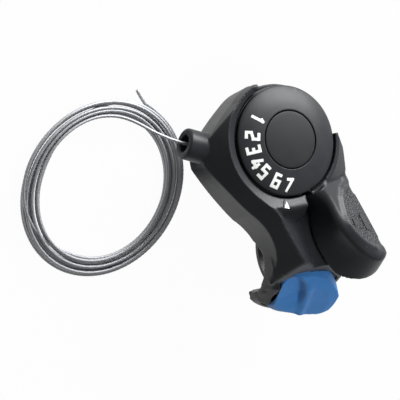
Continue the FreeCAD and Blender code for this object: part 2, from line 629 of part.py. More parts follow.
def thumb_lever():
    wires = [lever_wire(LEVER_BOTTOM, *LEVER_LOW), lever_wire(LEVER_MID, *LEVER_WAIST),
             lever_wire(LEVER_TOP, *LEVER_BEAD)]
    blade = Part.makeLoft(wires, True, False)
    # the arm falls away from the collar like a cone, until the pad rises out of it
    fall = COLLAR_TOP - LEVER_BOTTOM + 1
    arm = Part.makeCone(COLLAR_R + fall / ARM_SLOPE, COLLAR_R, fall, V(DIAL_X, DIAL_Y, COLLAR_TOP - fall))
    blade = blade.cut(above_pad(0.0).cut(arm))
    blade = blade.makeFillet(BEAD_R, bead_edges(blade))
    pad = closed([spline([V(x, y, LEVER_BOTTOM) for x, y in PAD_EDGE])],
                 [V(40, -4, LEVER_BOTTOM), V(40, 25, LEVER_BOTTOM)])
    recess = Part.Face(pad).extrude(V(0, 0, FAR)).common(above_pad(PAD_DEPTH))
    blade = blade.cut(recess.cut(arm))
    blade = blade.cut(on_axis(HUB_CLEAR_R, LEVER_DISC_Z, 0)).cut(on_axis(BOWL_R, FAR, LEVER_DISC_Z))
    collar = sector(BOWL_R, COLLAR_R, COLLAR_FROM, COLLAR_TO, LEVER_DISC_Z, COLLAR_TOP)
    web_top = LEVER_DISC_Z + LEVER_DISC_T
    web = sector(LEVER_DISC_R - 1, COLLAR_R - 0.2, COLLAR_FROM, COLLAR_TO, LEVER_DISC_Z, web_top)
    disc = ring(LEVER_DISC_R, SPOOL_TUBE_R + RUN_CLEAR, LEVER_DISC_T, LEVER_DISC_Z)
    return blade.fuse(collar).fuse(web).fuse(disc).removeSplitter()


def drive_pawl():
    z = DRIVE_Z + RUN_GAP
    pin = polar(DRIVE_PIN_ORBIT, DRIVE_PIN_DEG)
    shape = [(17.2, 2), (16.4, 20), (14.0, 27), (12.95, 25), (14.0, 18), (13.6, 2)]
    arm = prism([tuple(polar(r, DRIVE_PIN_DEG + d))[:2] for r, d in shape], z, z + PAWL_T)
    pawl = peg(DRIVE_EYE_R, pin, z, z + PAWL_T).fuse(arm)
    return pawl.cut(peg(DRIVE_PIN_R + RUN_CLEAR, pin, 0, FAR)).removeSplitter()


def drive_pawl_pin():
    pin = polar(DRIVE_PIN_ORBIT, DRIVE_PIN_DEG)
    low = DRIVE_Z - PIN_HEAD_H
    shank = peg(DRIVE_PIN_R, pin, low, LEVER_PLATE_Z + LEVER_PLATE_T)
    return shank.fuse(peg(PIN_HEAD_R, pin, low, DRIVE_Z)).removeSplitter()


def pawl_centre():
    return V(DIAL_X + PAWL_POST_DX, DIAL_Y + PAWL_POST_DY, 0)


def holding_pawl():
    c = pawl_centre()
    z0, z1 = PAWL_Z, PAWL_Z + PAWL_T
    hook = [(-1.0, -1.9), (-5.2, 0.9), (-6.6, 4.4), (-5.0, 4.55), (-3.4, 2.9), (0.6, 2.0)]
    tail = [(0.0, -1.2), (6.4, -0.2), (6.4, 1.1), (0.0, 1.6)]
    pawl = peg(PAWL_EYE_R, c, z0, z1)
    for outline in (hook, tail):
        pawl = pawl.fuse(prism([(c.x + x, c.y + y) for x, y in outline], z0, z1))
    pawl = pawl.cut(peg(PAWL_POST_R + RUN_CLEAR, c, 0, FAR))
    return pawl.cut(on_axis(RATCHET_TIP_R + 0.3, FAR, 0)).removeSplitter()


def pawl_post():
    return peg(PAWL_POST_R, pawl_centre(), PLATE_Z, POST_TOP)


def lever_spring():
    """Flat strip wound in three half circles that grow outwards, like a clock spring."""
    centre = V(DIAL_X, DIAL_Y, CABLE_Z + 0.9)
    edges, ends = [], []
    for side in (-SPRING_T / 2, SPRING_T / 2):
        for k, sign in enumerate((1, -1, 1)):
            r = LEVER_SPRING_R + LEVER_SPRING_STEP * k / 2 + side
            mid = centre + V(LEVER_SPRING_STEP / 2 * (k % 2), 0, 0)
            arc = [mid + V(sign * r, 0, 0), mid + V(0, sign * r, 0), mid - V(sign * r, 0, 0)]
            edges.append(Part.Arc(*arc).toShape())
            ends += [arc[0]] if k == 0 else []
        ends.append(arc[2])
    edges += [Part.makeLine(ends[0], ends[2]), Part.makeLine(ends[1], ends[3])]
    return Part.Face(Part.Wire(Part.__sortEdges__(edges))).extrude(V(0, 0, SPRING_H))


def pawl_spring():
    """Bent strip: one loop round the pawl post with a straight leg towards the hook."""
    c = pawl_centre()
    z0, z1 = SPOOL_Z + 0.4, SPOOL_Z + 2.0
    r0 = PAWL_POST_R + RUN_CLEAR
    loop = peg(r0 + SPRING_T, c, z0, z1).cut(peg(r0, c, z0, z1))
    slot = Part.makeBox(10, 1.2, z1 - z0, V(c.x - 10, c.y, z0))
    leg = Part.makeBox(5.0, SPRING_T, z1 - z0, V(c.x - 5.4, c.y + r0 - 0.1, z0))
    return loop.cut(slot).fuse(leg).removeSplitter()


def indicator_dial():
    inner = CAP_R + CAP_SEAM
    seat_r = CAP_R - CAP_SEAT_W
    seat_z = DIAL_TOP - CAP_SEAT_T
    edge_r, edge_z = DIAL_R - DIAL_SHOULDER, DIAL_RIM_TOP + DIAL_SHOULDER
    dome = ((edge_r + inner) / 2, (edge_z + DIAL_TOP) / 2 + DIAL_BULGE)
    floor = DIAL_BOTTOM + DIAL_FLOOR_T
    shape = turned([(0, DIAL_BOTTOM), (DIAL_R, DIAL_BOTTOM), (DIAL_R, DIAL_RIM_TOP), (edge_r, edge_z), dome,
                    (inner, DIAL_TOP), (inner, seat_z), (seat_r, seat_z), (seat_r, floor), (0, floor)])
    half = TENON_FLATS / 2 + RUN_CLEAR
    return shape.cut(Part.makeBox(2 * half, 2 * half, FAR, V(DIAL_X - half, DIAL_Y - half, 0)))


def dial_cap():
    low = DIAL_TOP - CAP_SEAT_T
    edge_z = DIAL_TOP - RUN_CLEAR
    top = edge_z + CAP_RISE
    dome = (CAP_R / 2, edge_z + 0.75 * CAP_RISE)
    cap = turned([(0, low + CAP_HOLLOW), (CAP_HOLLOW_R, low + CAP_HOLLOW), (CAP_HOLLOW_R, low), (CAP_R, low),
                  (CAP_R, edge_z), dome, (0, top)])
    return cap.cut(peg(CAP_NOTCH_R, polar(CAP_R, CAP_NOTCH_DEG), DIAL_TOP - CAP_HOLLOW, FAR))


def lay(shape):
    shape.rotate(V(0, 0, 0), X_AXIS, -REST_TILT)
    return shape


def laid_point(p):
    return FreeCAD.Rotation(X_AXIS, -REST_TILT).multVec(p)


def cable_coil():
    """Outer shape of the loose bundle of turns."""
    w, h = COIL_HALF_W, COIL_HALF_H
    section = [(w, 0.0), (0.55 * w, h), (-0.55 * w, h), (-w, 0.0), (-0.55 * w, -h), (0.55 * w, -h)]
    centre = V(COIL_X, COIL_Y, TABLE_Z + h)
    return face_of([centre + V(COIL_R + a, 0, b) for a, b in section]).revolve(centre, Z_AXIS, 360)


def coil_point(r, deg, up):
    a = math.radians(deg)
    return V(COIL_X + r * math.cos(a), COIL_Y + r * math.sin(a), TABLE_Z + up)


def filleted_path(points):
    """Straight runs joined by tangent arcs as large as the runs allow."""
    edges, last = [], points[0]
    for a, b, c in zip(points, points[1:], points[2:]):
        u, w = (a - b).normalize(), (c - b).normalize()
        turn = math.pi - u.getAngle(w)
        run = min((a - b).Length, (c - b).Length) * 0.45
        r = run / math.tan(turn / 2)
        print("bend radius %.1f mm" % r)
        inward = (u + w).normalize()
        centre = b + inward * (r / math.cos(turn / 2))
        edges.append(Part.makeLine(last, b + u * run))
        edges.append(Part.Arc(b + u * run, centre - inward * r, b + w * run).toShape())
        last = b + w * run
    edges.append(Part.makeLine(last, points[-1]))
    return edges


def tube(edges, start, towards):
    section = Part.Wire(Part.makeCircle(CABLE_R, start, towards))
    return Part.Wire(edges).makePipeShell([section], True, False)


def cable_lead():
    start, away, mouth = (laid_point(p) for p in barrel_axis())
    landing = [coil_point(LEAD_IN_R, d, up) for d, up in zip(LEAD_DEGS, LEAD_UP)]
    return tube(filleted_path([mouth, mouth + away * LEAD_RUN] + landing), mouth, away)


def cable_tail():
    start = coil_point(TAIL_R[0], TAIL_DEG, TAIL_UP[0])
    tip = coil_point(TAIL_R[1], TAIL_DEG + TAIL_STEP_DEG, TAIL_UP[1])
    return Part.makeCylinder(CABLE_R, (tip - start).Length, start, tip - start)


os.makedirs("parts", exist_ok=True)
IN_FRAME = {
    "bracket_body": bracket_body(),
    "base_plate": base_plate(),
    "base_screws": base_screws(),
    "main_axle": main_axle(),
    "axle_washer": axle_washer(),
    "axle_nut": axle_nut(),
    "thrust_washer": thrust_washer(),
    "index_ratchet": toothed_wheel(RATCHET_Z),
    "drive_ratchet": toothed_wheel(DRIVE_Z),
    "cable_spool": cable_spool(),
    "cable_nipple": cable_nipple(),
    "cable_run": cable_run(),
    "lever_plate": lever_plate(),
    "thumb_lever": thumb_lever(),
    "drive_pawl": drive_pawl(),
    "drive_pawl_pin": drive_pawl_pin(),
    "lever_spring": lever_spring(),
    "holding_pawl": holding_pawl(),
    "pawl_post": pawl_post(),
    "pawl_spring": pawl_spring(),
    "release_plate": release_plate(),
    "release_button": release_button(),
    "indicator_dial": indicator_dial(),
    "dial_cap": dial_cap(),
    "clamp_strap": clamp_strap(),
    "clamp_bolt": clamp_bolt(),
    "clamp_nut": clamp_nut(),
}
ON_TABLE = {
    "cable_coil": cable_coil(),
    "cable_lead": cable_lead(),
    "cable_tail": cable_tail(),
}
for name, shape in list(IN_FRAME.items()):
    ON_TABLE[name] = lay(shape)
for name, shape in ON_TABLE.items():
    print(name, shape.isValid(), len(shape.Solids), "%.1f mm3" % shape.Volume)
    shape.exportStep("parts/%s.step" % name)
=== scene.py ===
import json
import math
import bmesh
import bpy
import numpy as np
from mathutils import Matrix, Vector
from mathutils.bvhtree import BVHTree


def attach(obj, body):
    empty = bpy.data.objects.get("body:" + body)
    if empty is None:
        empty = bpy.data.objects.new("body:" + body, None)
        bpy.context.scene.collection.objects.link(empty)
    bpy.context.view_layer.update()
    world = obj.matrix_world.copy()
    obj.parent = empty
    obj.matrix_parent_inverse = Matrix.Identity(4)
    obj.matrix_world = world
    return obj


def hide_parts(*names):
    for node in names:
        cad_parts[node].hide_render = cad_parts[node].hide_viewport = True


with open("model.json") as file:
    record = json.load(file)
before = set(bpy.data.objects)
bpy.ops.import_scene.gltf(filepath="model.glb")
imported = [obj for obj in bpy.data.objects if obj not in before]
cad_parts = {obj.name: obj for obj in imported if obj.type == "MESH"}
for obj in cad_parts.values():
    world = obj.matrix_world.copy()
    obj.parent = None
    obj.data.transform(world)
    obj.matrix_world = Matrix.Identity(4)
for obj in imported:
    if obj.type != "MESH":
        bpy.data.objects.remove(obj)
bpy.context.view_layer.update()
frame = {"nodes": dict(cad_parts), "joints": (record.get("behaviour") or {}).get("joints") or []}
MM = 0.001


# Bracket: one black glass-filled nylon moulding that carries everything else. It has the dial bowl
# with its raised crescent ring, the neck, the bar saddle with its hook and the cable outlet barrel.
# The mould tool leaves every outer edge slightly rounded and the skin finely grained.
dial_turn = next(joint for joint in frame["joints"] if joint["name"] == "dial_turn")
DIAL_AXIS = Vector(dial_turn["axis"])
SHIFTER_TURN = Matrix.Rotation(-math.atan2(DIAL_AXIS.y, DIAL_AXIS.z), 3, "X")
DIAL_MIDDLE = SHIFTER_TURN.inverted() @ Vector(dial_turn["pos_m"]) / MM


def on_shifter(x, y, z):
    """Place of a point that is given along the shifter's own axes, in mm."""
    return SHIFTER_TURN @ (Vector((x, y, z)) * MM)


def on_dial(r, deg, z):
    a = math.radians(deg)
    return on_shifter(DIAL_MIDDLE.x + r * math.cos(a), DIAL_MIDDLE.y + r * math.sin(a), z)


def shown(name, mesh):
    piece = bpy.data.objects.new(name, mesh)
    bpy.context.scene.collection.objects.link(piece)
    return piece


def settle(piece):
    """Keeps what the piece's modifiers make of it as its mesh."""
    bpy.context.view_layer.update()
    shaped = piece.evaluated_get(bpy.context.evaluated_depsgraph_get())
    piece.data = bpy.data.meshes.new_from_object(shaped)
    piece.modifiers.clear()


def mould_skin(name, mesh, voxel, passes, fillers=()):
    """A solid with its edges rounded as a mould tool rounds them, joined with some filling blocks."""
    solid = bmesh.new()
    solid.from_mesh(mesh)
    for corners in fillers:
        bmesh.ops.convex_hull(solid, input=[solid.verts.new(corner) for corner in corners])
    solid.to_mesh(mesh)
    solid.free()
    piece = shown(name, mesh)
    skin = piece.modifiers.new("skin", "REMESH")
    skin.mode = "VOXEL"
    skin.voxel_size = voxel
    rounding = piece.modifiers.new("rounding", "SMOOTH")
    rounding.factor = 0.5
    rounding.iterations = passes
    settle(piece)
    return piece


def rub_down(piece, corners):
    """Rounds some places more than the rest: each has its middle, reach and number of strokes."""
    mesh = piece.data
    places = np.empty((len(mesh.vertices), 3))
    mesh.vertices.foreach_get("co", places.ravel())
    edges = np.empty((len(mesh.edges), 2), dtype=int)
    mesh.edges.foreach_get("vertices", edges.ravel())
    both_ways = np.concatenate([edges, edges[:, ::-1]])
    for middle, reach, strokes in corners:
        near = np.linalg.norm(places - np.array(middle), axis=1) < reach * MM
        ids = np.flatnonzero(near)
        links = both_ways[near[both_ways[:, 0]]]
        rows = np.searchsorted(ids, links[:, 0])
        count = np.bincount(rows, minlength=len(ids))
        for _ in range(strokes):
            for axis in range(3):
                mean = np.bincount(rows, places[links[:, 1], axis], len(ids)) / count
                places[ids, axis] += 0.5 * (mean - places[ids, axis])
    mesh.vertices.foreach_set("co", places.ravel())
    mesh.update()


def thin_out(piece, share):
    """Leaves this share of the faces, fewest where the skin is flat."""
    thinning = piece.modifiers.new("thinning", "DECIMATE")
    thinning.ratio = share
    settle(piece)
    piece.data.polygons.foreach_set("use_smooth", [True] * len(piece.data.polygons))
    piece.data.materials.clear()


def moulded_finish(name, colour, rubbed, roughness, grain, depth):
    """Spark-eroded plastic skin: pebble grain, cloudy gloss and paler rubbed edges."""
    finish = bpy.data.materials.new(name)
    finish.use_nodes = True
    nodes, links = finish.node_tree.nodes, finish.node_tree.links
    shader = nodes["Principled BSDF"]
    shader.inputs["IOR"].default_value = 1.36
    place = nodes.new("ShaderNodeTexCoord")
    pebble = nodes.new("ShaderNodeTexNoise")
    pebble.inputs["Scale"].default_value = 1 / grain
    pebble.inputs["Detail"].default_value = 3
    cloud = nodes.new("ShaderNodeTexNoise")
    cloud.inputs["Scale"].default_value = 260
    cloud.inputs["Detail"].default_value = 4
    for noise in (pebble, cloud):
        links.new(place.outputs["Object"], noise.inputs["Vector"])
    bump = nodes.new("ShaderNodeBump")
    bump.name = "grain"
    bump.inputs["Strength"].default_value = 1.0
    bump.inputs["Distance"].default_value = depth
    links.new(pebble.outputs["Fac"], bump.inputs["Height"])
    links.new(bump.outputs["Normal"], shader.inputs["Normal"])
    gloss = nodes.new("ShaderNodeMapRange")
    gloss.inputs["To Min"].default_value = roughness - 0.06
    gloss.inputs["To Max"].default_value = roughness + 0.06
    links.new(cloud.outputs["Fac"], gloss.inputs["Value"])
    links.new(gloss.outputs["Result"], shader.inputs["Roughness"])
    tint = nodes.new("ShaderNodeMix")
    tint.data_type = "RGBA"
    tint.inputs["A"].default_value = (*[0.85 * c for c in colour], 1)
    tint.inputs["B"].default_value = (*[1.15 * c for c in colour], 1)
    links.new(cloud.outputs["Fac"], tint.inputs["Factor"])
    geometry = nodes.new("ShaderNodeNewGeometry")
    rub = nodes.new("ShaderNodeMapRange")
    rub.inputs["From Min"].default_value = 0.53
    rub.inputs["From Max"].default_value = 0.62
    rub.inputs["To Max"].default_value = 0.5
    links.new(geometry.outputs["Pointiness"], rub.inputs["Value"])
    worn = nodes.new("ShaderNodeMix")
    worn.data_type = "RGBA"
    worn.inputs["B"].default_value = (*rubbed, 1)
    links.new(rub.outputs["Result"], worn.inputs["Factor"])
    links.new(tint.outputs["Result"], worn.inputs["A"])
    links.new(worn.outputs["Result"], shader.inputs["Base Color"])
    return finish


black_nylon = moulded_finish("black_nylon", colour=(0.017, 0.018, 0.021), rubbed=(0.04, 0.042, 0.046),
                             roughness=0.4, grain=0.35 * MM, depth=0.02 * MM)
RING_END = [on_dial(r, deg, z) for r in (19.9, 21.9) for deg in (108.8, 114.0) for z in (25.6, 28.3)]
LEFT_RIM = [on_shifter(*corner) for corner in (
    (-13.1, -9.4, 12.4), (-13.1, -15.0, -0.2), (-13.1, -12.3, 11.2), (-13.1, -17.0, 0.8),
    (-17.2, -10.2, 10.2), (-16.6, -14.9, 0.4), (-13.1, -11.0, 8.0), (-16.9, -11.6, 5.6))]
RING_TIP = [(on_dial(20.9, 109.4, 27.8), 2.0, 16)]
HOOK_TIP = [(on_shifter(-17.4, -11.0, -3.0), 2.2, 40)]
RING_FOOT = [
    (on_shifter(-15.4, 14.6, 29.0), 2.8, 30), (on_shifter(-13.2, 14.4, 28.6), 3.4, 50),
    (on_shifter(-11.0, 14.0, 28.4), 3.6, 60), (on_shifter(-8.6, 14.2, 28.4), 3.6, 60),
    (on_shifter(-6.4, 14.8, 28.2), 3.2, 50), (on_shifter(-9.5, 12.0, 25.0), 4.4, 60)]
NECK_RIDGE = [
    (on_shifter(-17.0, 9.2, 28.3), 2.8, 40), (on_shifter(-15.6, 7.0, 27.8), 3.0, 40),
    (on_shifter(-14.0, 4.0, 27.2), 3.2, 50), (on_shifter(-12.4, 1.3, 26.6), 3.2, 50),
    (on_shifter(-10.8, -1.6, 25.9), 3.6, 50), (on_shifter(-9.9, -3.9, 25.3), 4.0, 60)]
SOCKET_ARCH = [
    (on_shifter(-13.0, -6.3, 20.0), 3.2, 50), (on_shifter(-15.5, -8.5, 15.0), 3.0, 50),
    (on_shifter(-16.9, -10.6, 9.6), 3.0, 50), (on_shifter(-5.0, -6.0, 21.0), 3.2, 50)]
SOCKET_RIM = [
    (on_shifter(-13.6, -12.6, 9.0), 1.6, 12), (on_shifter(-13.6, -14.8, 5.0), 1.6, 12),
    (on_shifter(-15.4, -12.2, 7.4), 2.2, 30), (on_shifter(-16.0, -13.6, 3.6), 2.2, 30),
    (on_shifter(-15.2, -12.0, 5.0), 3.8, 30), (on_shifter(-17.2, -12.0, 0.5), 3.2, 30)]
bracket = mould_skin("bracket_moulding", frame["nodes"]["bracket_body"].data.copy(),
                     voxel=0.32 * MM, passes=4, fillers=[RING_END, LEFT_RIM])
rub_down(bracket, RING_TIP + HOOK_TIP + RING_FOOT + NECK_RIDGE + SOCKET_ARCH + SOCKET_RIM)
thin_out(bracket, share=0.4)
bracket.data.materials.append(black_nylon)
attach(bracket, "bracket")
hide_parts("bracket_body")


# Pointer: a small white triangle printed on the sloping ring, below the dial, with a thin near-black plate
# beside it as painted shade for a fine slit there.
# It shows which digit counts, and its tip faces the dial's middle.
def raised_mark(name, corners, carrier, lift, sink):
    """Thin plate with these corners, let into the carrier's skin below them."""
    corner_places = [vertex.co for vertex in carrier.data.vertices]
    skin = BVHTree.FromPolygons(corner_places, [face.vertices for face in carrier.data.polygons])
    seats = [skin.ray_cast(corner, -DIAL_AXIS)[0] for corner in corners]
    verts = [seat + DIAL_AXIS * lift for seat in seats] + [seat - DIAL_AXIS * sink for seat in seats]
    n = len(seats)
    faces = [tuple(range(n)), tuple(range(2 * n - 1, n - 1, -1))]
    faces += [(k, n + k, n + (k + 1) % n, (k + 1) % n) for k in range(n)]
    mesh = bpy.data.meshes.new(name)
    mesh.from_pydata(verts, [], faces)
    return shown(name, mesh)


white_print = moulded_finish("white_print", colour=(0.82, 0.82, 0.81), rubbed=(0.7, 0.7, 0.7),
                             roughness=0.5, grain=0.2 * MM, depth=0.004 * MM)
# Painted shade: a near-black matt finish for the plate that stands for the shadow in the slit beside the
# pointer.
slit_painted_shade = moulded_finish("slit_painted_shade", colour=(0.002, 0.002, 0.002), rubbed=(0.004, 0.004, 0.004),
                           roughness=0.9, grain=0.2 * MM, depth=0.004 * MM)
ABOVE_RING = 40
POINTER = [on_dial(r, deg, ABOVE_RING) for r, deg in ((20.8, 258.7), (23.2, 255.4), (23.4, 260.6))]
SLIT = [on_dial(r, deg, ABOVE_RING) for r, deg in (
    (20.2, 256.6), (23.0, 253.9), (22.9, 254.9), (20.2, 257.4))]
pointer = raised_mark("pointer_print", POINTER, bracket, lift=0.26 * MM, sink=0.3 * MM)
pointer.data.materials.append(white_print)
# Painted shade: a thin dark plate laid on the ring where the slit's shadow falls.
slit = raised_mark("pointer_slit_painted_shade", SLIT, bracket, lift=0.08 * MM, sink=0.2 * MM)
slit.data.materials.append(slit_painted_shade)
for mark in (pointer, slit):
    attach(mark, "bracket")


# Clamp: a strip of black coated steel round the bar, with a socket bolt and a square nut in the neck.
# The strip is bent from sheet, with sheared edges.
def coated_steel(name, colour, metallic, roughness):
    finish = bpy.data.materials.new(name)
    finish.use_nodes = True
    nodes, links = finish.node_tree.nodes, finish.node_tree.links
    shader = nodes["Principled BSDF"]
    shader.inputs["Metallic"].default_value = metallic
    place = nodes.new("ShaderNodeTexCoord")
    scuff = nodes.new("ShaderNodeTexNoise")
    scuff.inputs["Scale"].default_value = 900
    scuff.inputs["Detail"].default_value = 5
    links.new(place.outputs["Object"], scuff.inputs["Vector"])
    gloss = nodes.new("ShaderNodeMapRange")
    gloss.inputs["To Min"].default_value = roughness - 0.1
    gloss.inputs["To Max"].default_value = roughness + 0.1
    links.new(scuff.outputs["Fac"], gloss.inputs["Value"])
    links.new(gloss.outputs["Result"], shader.inputs["Roughness"])
    tint = nodes.new("ShaderNodeMix")
    tint.data_type = "RGBA"
    tint.inputs["A"].default_value = (*[0.8 * c for c in colour], 1)
    tint.inputs["B"].default_value = (*[1.2 * c for c in colour], 1)
    links.new(scuff.outputs["Fac"], tint.inputs["Factor"])
    links.new(tint.outputs["Result"], shader.inputs["Base Color"])
    bump = nodes.new("ShaderNodeBump")
    bump.inputs["Distance"].default_value = 0.01 * MM
    links.new(scuff.outputs["Fac"], bump.inputs["Height"])
    links.new(bump.outputs["Normal"], shader.inputs["Normal"])
    return finish


def dress(finish, *names):
    for name in names:
        mesh = frame["nodes"][name].data
        mesh.materials.clear()
        mesh.materials.append(finish)


strap_coat = coated_steel("strap_coat", colour=(0.02, 0.02, 0.021), metallic=0.3, roughness=0.4)
zinc = coated_steel("zinc_plate", colour=(0.55, 0.55, 0.53), metallic=1.0, roughness=0.35)
dress(strap_coat, "clamp_strap")
dress(zinc, "clamp_bolt", "clamp_nut")


# Mechanism: stamped and tumbled steel plates on one axle, with an acetal spool between them.
# All of it is closed in by the bowl, the lever and the dial.
stamped = coated_steel("stamped_steel", colour=(0.5, 0.5, 0.51), metallic=1.0, roughness=0.38)
acetal = moulded_finish("acetal", colour=(0.7, 0.69, 0.65), rubbed=(0.8, 0.79, 0.75), roughness=0.45,
                        grain=0.5 * MM, depth=0.01 * MM)
brass = coated_steel("nipple_brass", colour=(0.6, 0.46, 0.22), metallic=1.0, roughness=0.35)
dress(zinc, "base_screws", "main_axle", "axle_washer", "axle_nut", "drive_pawl_pin", "pawl_post")
dress(stamped, "base_plate", "thrust_washer", "index_ratchet", "drive_ratchet", "lever_plate")
dress(stamped, "drive_pawl", "holding_pawl", "release_plate", "lever_spring", "pawl_spring")
dress(acetal, "cable_spool")
dress(brass, "cable_nipple")


# Thumb lever: black nylon moulded over a steel hub. Its thumb pad is sunk below a rounded bead and
# has a coarser grain than the rest, with a raised triangle and bar that show which way it is pushed.
PAD_TILT = math.radians(30.0)
PAD_AIM = math.radians(33.2)
PAD_FLOOR = on_shifter(4.6, 7.6, 31.6)
PAD_DEPTH = 1.0 * MM
PAD_GRAIN = 0.75 * MM
PAD_GRAIN_DEPTH = 0.3 * MM
PAD_EDGE = [Vector(corner) for corner in (
    (16.9, 20.0), (13.0, 18.6), (10.2, 16.6), (8.6, 14.5), (8.0, 12.5), (7.5, 9.3), (7.8, 6.2), (8.8, 3.8),
    (10.5, 1.7), (12.8, -0.4), (15.4, -2.0), (20.0, -3.1))]
BEAD_RISE = 0.9 * MM
BEAD_OFF = 1.4
BEAD_SPREAD = 1.25
BEAD_FADE = 4.0
BEAD_ZONE = 2.2 * MM
BEAD_FACING = 0.3
GRAIN_ZONE = 0.5 * MM
GRAIN_FACING = 0.93
LEVER_ROOT = [(on_shifter(14.8, 19.8, 22.2), 4.6, 140)]
LEVER_TIP = [(on_shifter(20.9, -2.8, 27.0), 3.4, 90)]
COLLAR_END = [(on_shifter(-1.7, 19.8, 28.0), 2.2, 40), (on_shifter(1.0, 21.1, 28.0), 2.2, 40)]


def beside(at, line):
    """Distance of a point from a line of corners, positive on its left."""
    found = math.inf
    for a, b in zip(line, line[1:]):
        run = b - a
        part = max(0.0, min(1.0, (at - a).dot(run) / run.length_squared))
        gap = at - (a + run * part)
        if gap.length < abs(found):
            found = math.copysign(gap.length, run.cross(gap))
    return found


lever_nylon = moulded_finish("lever_nylon", colour=(0.018, 0.019, 0.022), rubbed=(0.04, 0.042, 0.046),
                             roughness=0.4, grain=0.35 * MM, depth=0.02 * MM)
pad_lean = math.sin(PAD_TILT)
pad_up = SHIFTER_TURN @ Vector(
    (math.cos(PAD_AIM) * pad_lean, math.sin(PAD_AIM) * pad_lean, math.cos(PAD_TILT)))
lever = mould_skin("lever_moulding", frame["nodes"]["thumb_lever"].data.copy(), voxel=0.22 * MM, passes=6)
facing = [vertex.normal.dot(pad_up) for vertex in lever.data.vertices]
for vertex, share in zip(lever.data.vertices, facing):
    if abs((vertex.co - PAD_FLOOR).dot(pad_up)) < BEAD_ZONE and share > BEAD_FACING:
        at = (SHIFTER_TURN.inverted() @ vertex.co).xy / MM
        fade = min(1.0, (at - PAD_EDGE[0]).length / BEAD_FADE, (at - PAD_EDGE[-1]).length / BEAD_FADE)
        bead = math.exp(-((beside(at, PAD_EDGE) + BEAD_OFF) / BEAD_SPREAD) ** 2)
        vertex.co += pad_up * BEAD_RISE * fade * fade * bead
rub_down(lever, LEVER_ROOT + LEVER_TIP + COLLAR_END)
thin_out(lever, share=0.3)
lever.data.materials.append(lever_nylon)
pad_share = lever.data.attributes.new("pad_share", "FLOAT", "POINT")
for vertex, share in zip(lever.data.vertices, pad_share.data):
    above = (vertex.co - PAD_FLOOR).dot(pad_up) + PAD_DEPTH
    on_pad = abs(above) < GRAIN_ZONE and vertex.normal.dot(pad_up) > GRAIN_FACING
    share.value = 1.0 if on_pad else 0.0
nodes, links = lever_nylon.node_tree.nodes, lever_nylon.node_tree.links
place = nodes.new("ShaderNodeTexCoord")
leather = nodes.new("ShaderNodeTexVoronoi")
leather.inputs["Scale"].default_value = 1 / PAD_GRAIN
links.new(place.outputs["Object"], leather.inputs["Vector"])
where = nodes.new("ShaderNodeAttribute")
where.attribute_name = "pad_share"
coarse = nodes.new("ShaderNodeBump")
coarse.inputs["Distance"].default_value = PAD_GRAIN_DEPTH
links.new(where.outputs["Fac"], coarse.inputs["Strength"])
links.new(leather.outputs["Distance"], coarse.inputs["Height"])
links.new(nodes["grain"].outputs["Normal"], coarse.inputs["Normal"])
links.new(coarse.outputs["Normal"], nodes["Principled BSDF"].inputs["Normal"])
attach(lever, "lever")
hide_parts("thumb_lever")

ABOVE_PAD = 45
MARK_RISE = 0.3 * MM
MARK_ROOT = 0.4 * MM
for mark_name, outline in (
        ("push_triangle", [(10.1, 7.8), (14.1, 6.1), (10.5, 4.9)]),
        ("push_bar", [(14.7, 8.8), (17.1, 8.8), (17.8, 2.8), (16.0, 3.1)])):
    corners = [on_shifter(x, y, ABOVE_PAD) for x, y in reversed(outline)]
    mark = raised_mark(mark_name, corners, lever, lift=MARK_RISE, sink=MARK_ROOT)
    mark.data.materials.append(lever_nylon)
    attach(mark, "lever")


# Dial: a dark grey moulding with a domed top, pressed on the square of the spool.
# Its rim runs down into the bowl, and its middle is stepped down as a seat for the cap.
DIAL_R = 18.9
DIAL_LOW = 26.8
DIAL_FLOOR = 28.2
DOME = ((10.0, 31.2), (14.15, 30.27), (18.3, 28.5))
DOME_RINGS = 10
DOME_STEP = 0.83
CAP_SEAT = (8.65, 30.0)
HUB_HOLE_R = 5.7
TURN_STEPS = 144


def dome_height(r):
    """Height of the dial's top at this radius, on the parabola through its three known points."""
    (r0, z0), (r1, z1), (r2, z2) = DOME
    first = (z1 - z0) / (r1 - r0)
    second = ((z2 - z1) / (r2 - r1) - first) / (r2 - r0)
    return z0 + first * (r - r0) + second * (r - r0) * (r - r1)


def turned_piece(name, profile):
    """Closed ring or disc turned about the dial's axis."""
    verts, rings = [], []
    for r, z in profile:
        if r == 0:
            rings.append([len(verts)] * TURN_STEPS)
            verts.append(on_dial(0, 0, z))
            continue
        rings.append(range(len(verts), len(verts) + TURN_STEPS))
        verts += [on_dial(r, 360 * k / TURN_STEPS, z) for k in range(TURN_STEPS)]
    faces = []
    for low, high in zip(rings, rings[1:] + rings[:1]):
        for k in range(TURN_STEPS):
            corners = [low[k], low[(k + 1) % TURN_STEPS], high[(k + 1) % TURN_STEPS], high[k]]
            face = list(dict.fromkeys(corners))
            if len(face) > 2:
                faces.append(face)
    mesh = bpy.data.meshes.new(name)
    mesh.from_pydata(verts, [], faces)
    mesh.polygons.foreach_set("use_smooth", [True] * len(mesh.polygons))
    return shown(name, mesh)


def rounded_corner(r, z, size, from_deg, to_deg):
    """Part of a small circle about (r, z) as points of a turned profile."""
    angles = [math.radians(from_deg + (to_deg - from_deg) * k / 4) for k in range(5)]
    return [(r + size * math.cos(a), z + size * math.sin(a)) for a in angles]


